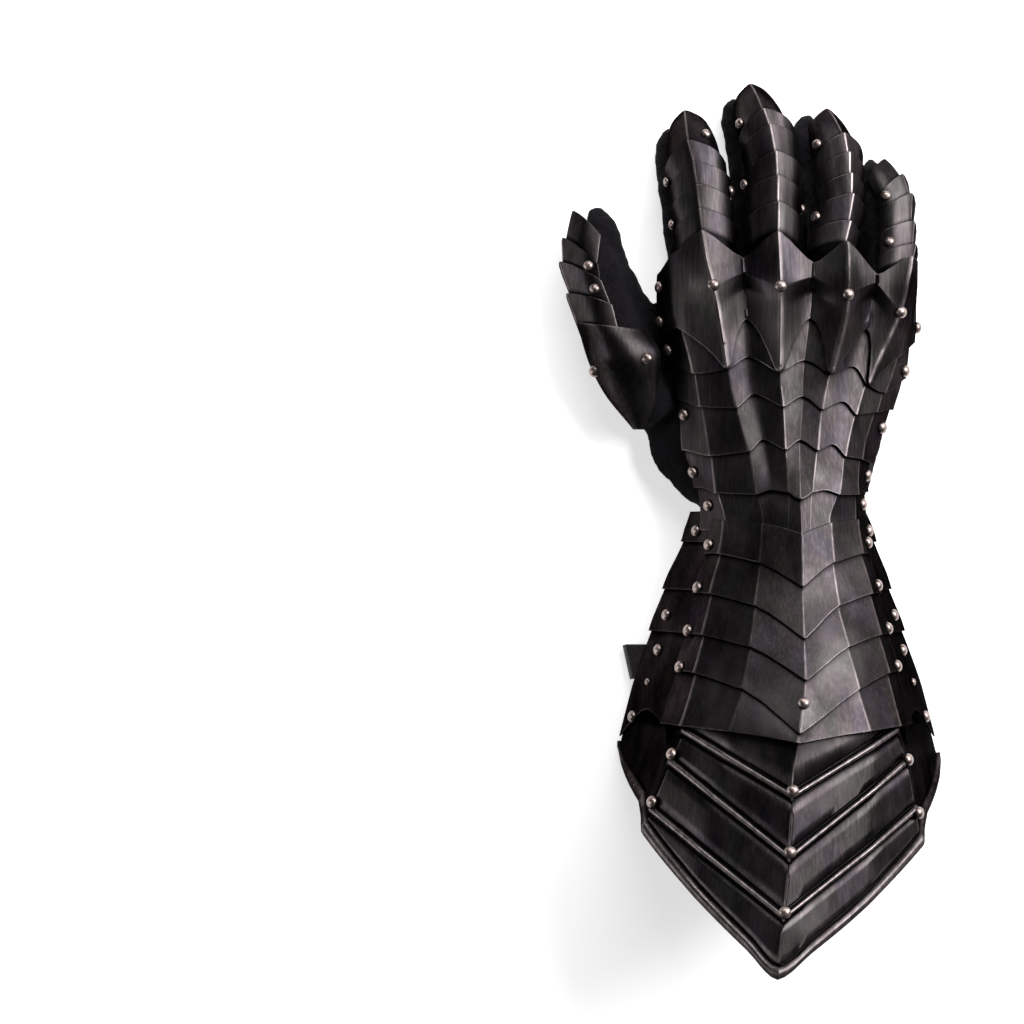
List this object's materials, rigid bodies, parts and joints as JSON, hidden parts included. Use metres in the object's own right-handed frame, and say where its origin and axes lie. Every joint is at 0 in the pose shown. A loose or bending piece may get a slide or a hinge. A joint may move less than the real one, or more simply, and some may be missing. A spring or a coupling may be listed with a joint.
{
  "type": "armoured gauntlet",
  "caption": "Plate gauntlet for a right hand: overlapping steel lames over the fingers, back of the hand and arm, a pointed ribbed cuff, a suede glove and a buckled strap.",
  "frame": {"origin": "middle of the flat of the palm, on the surface that the gauntlet lies on", "axes": "+Y along the middle finger, +Z out of the back of the hand, +X towards the little finger"},
  "size_m": [0.1777, 0.4036, 0.1177],
  "materials": {
    "blackened_steel": "blackened, brushed, edges worn bright",
    "suede": "matt suede",
    "strap_leather": "smooth, semi-gloss",
    "nickel": "satin nickel plate"
  },
  "bodies": {
    "root": {"knuckle_plate": "blackened_steel", "metacarpal_lame_1": "blackened_steel", "metacarpal_lame_2": "blackened_steel", "metacarpal_lame_3": "blackened_steel", "metacarpal_lame_4": "blackened_steel", "wrist_lame": "blackened_steel", "cuff_lame_1": "blackened_steel", "cuff_lame_2": "blackened_steel", "cuff_lame_3": "blackened_steel", "cuff_lame_4": "blackened_steel", "cuff_lame_5": "blackened_steel", "cuff_plate": "blackened_steel", "side_plate_left_1": "blackened_steel", "side_plate_left_2": "blackened_steel", "side_plate_left_3": "blackened_steel", "side_plate_left_4": "blackened_steel", "side_plate_right_1": "blackened_steel", "side_plate_right_2": "blackened_steel", "side_plate_right_3": "blackened_steel", "side_plate_right_4": "blackened_steel", "index_lame_1": "blackened_steel", "index_lame_2": "blackened_steel", "index_lame_3": "blackened_steel", "index_lame_4": "blackened_steel", "index_tip": "blackened_steel", "middle_lame_1": "blackened_steel", "middle_lame_2": "blackened_steel", "middle_lame_3": "blackened_steel", "middle_lame_4": "blackened_steel", "middle_lame_5": "blackened_steel", "middle_tip": "blackened_steel", "ring_lame_1": "blackened_steel", "ring_lame_2": "blackened_steel", "ring_lame_3": "blackened_steel", "ring_lame_4": "blackened_steel", "ring_lame_5": "blackened_steel", "ring_tip": "blackened_steel", "little_lame_1": "blackened_steel", "little_lame_2": "blackened_steel", "little_lame_3": "blackened_steel", "little_lame_4": "blackened_steel", "little_tip": "blackened_steel", "thumb_lame_1": "blackened_steel", "thumb_lame_2": "blackened_steel", "thumb_lame_3": "blackened_steel", "thumb_tip": "blackened_steel", "thumb_base": "blackened_steel", "glove_hand": "suede", "glove_sleeve": "suede", "glove_thumb": "suede", "glove_index": "suede", "glove_middle": "suede", "glove_ring": "suede", "glove_little": "suede", "strap_billet": "strap_leather", "buckle_strap": "strap_leather", "buckle_frame": "nickel", "buckle_pin": "nickel"}
  },
  "joints": []
}
